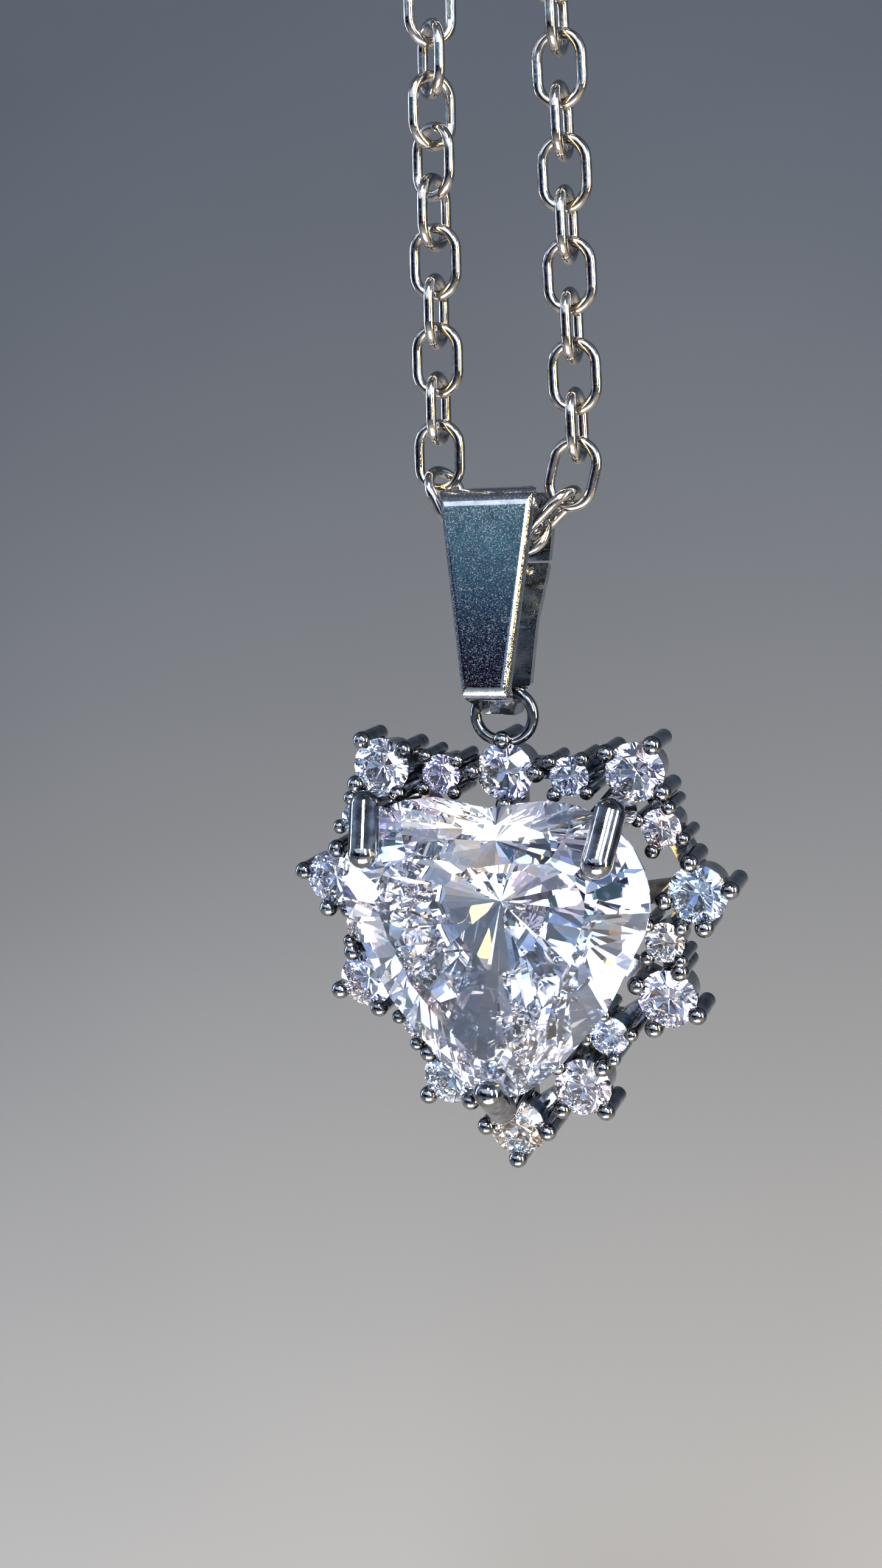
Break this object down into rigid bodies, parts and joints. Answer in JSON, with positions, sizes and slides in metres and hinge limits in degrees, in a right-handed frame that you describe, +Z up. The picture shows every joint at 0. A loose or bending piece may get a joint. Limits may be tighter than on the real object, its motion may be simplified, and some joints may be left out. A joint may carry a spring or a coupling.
{
  "type": "heart pendant on a chain",
  "caption": "Heart-cut stone in claws inside a heart-shaped frame of round stones, with a folded bail, on a fine cable chain that closes in a loop.",
  "frame": {"origin": "inside of the top of the chain's loop, where a peg, hook or neck carries it", "axes": "+Z up along the hanging chain, -Y out of the pendant's face, +X to the viewer's right"},
  "size_m": [0.0136, 0.0056, 0.2203],
  "materials": {
    "clear_stone": "clear cut stone, polished facets",
    "bright_metal": "polished white metal plating",
    "polished_steel": "mirror-polished white metal, fine wear marks",
    "chain_metal": "polished white metal wire"
  },
  "bodies": {
    "neck_chain": {"chain": "chain_metal", "chain_upper": "chain_metal", "clasp": "chain_metal"},
    "bail": {"bail": "polished_steel"},
    "pendant": {"setting": "bright_metal", "heart_stone": "clear_stone", "stone_hip_left": "clear_stone", "stone_hip_right": "clear_stone", "stone_hip_small_left": "clear_stone", "stone_hip_small_right": "clear_stone", "stone_low_left": "clear_stone", "stone_low_right": "clear_stone", "stone_shoulder_left": "clear_stone", "stone_shoulder_right": "clear_stone", "stone_shoulder_small_left": "clear_stone", "stone_shoulder_small_right": "clear_stone", "stone_side_left": "clear_stone", "stone_side_right": "clear_stone", "stone_side_small_left": "clear_stone", "stone_side_small_right": "clear_stone", "stone_tip": "clear_stone", "stone_top": "clear_stone", "stone_top_small_left": "clear_stone", "stone_top_small_right": "clear_stone"}
  },
  "joints": [
    {"name": "bail_swing", "type": "hinge", "parent": "neck_chain", "child": "bail", "pos_m": [-0.00032, 0, -0.19959], "axis": [1, 0, 0], "range_deg": [-12, 12]},
    {"name": "pendant_swing", "type": "hinge", "parent": "bail", "child": "pendant", "pos_m": [-0.00032, -0.00025, -0.20444], "axis": [1, 0, 0], "range_deg": [-30, 30]}
  ]
}
